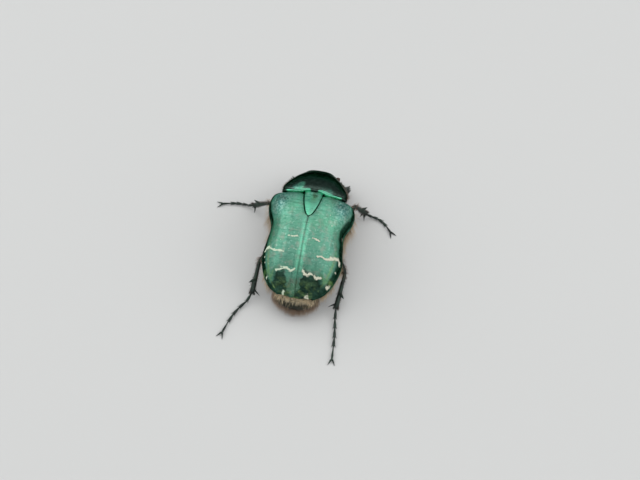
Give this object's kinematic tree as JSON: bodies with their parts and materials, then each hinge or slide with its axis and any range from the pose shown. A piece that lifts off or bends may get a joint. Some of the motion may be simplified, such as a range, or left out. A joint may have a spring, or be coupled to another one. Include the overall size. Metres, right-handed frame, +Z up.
{
  "type": "rose chafer",
  "caption": "Broad oval beetle with metallic green wing cases, a long triangular scutellum, a domed pronotum and jointed, toothed legs that end in claws, standing at life size.",
  "frame": {"origin": "centre of the bounding box, on the floor that the feet rest on", "axes": "+Z up, -Y the way the head points, +X the beetle's own left side"},
  "size_m": [0.0216, 0.0238, 0.0074],
  "materials": {
    "shell": "metallic green, smooth",
    "underside": "dark green, satin",
    "eye": "polished black",
    "feeler": "dark brown, satin"
  },
  "bodies": {
    "root": {"prothorax": "shell", "scutellum": "shell", "pygidium": "shell", "head": "shell", "elytron_left": "shell", "elytron_right": "shell", "thorax": "underside", "abdomen": "underside", "mesepimeron_left": "underside", "mesepimeron_right": "underside", "femur_front_left": "underside", "tibia_front_left": "underside", "tarsus_front_left": "underside", "femur_front_right": "underside", "tibia_front_right": "underside", "tarsus_front_right": "underside", "femur_middle_left": "underside", "tibia_middle_left": "underside", "tarsus_middle_left": "underside", "femur_middle_right": "underside", "tibia_middle_right": "underside", "tarsus_middle_right": "underside", "femur_hind_left": "underside", "tibia_hind_left": "underside", "tarsus_hind_left": "underside", "femur_hind_right": "underside", "tibia_hind_right": "underside", "tarsus_hind_right": "underside", "eye_left": "eye", "eye_right": "eye", "antenna_left": "feeler", "antenna_right": "feeler", "palp_left": "feeler", "palp_right": "feeler"}
  },
  "joints": []
}
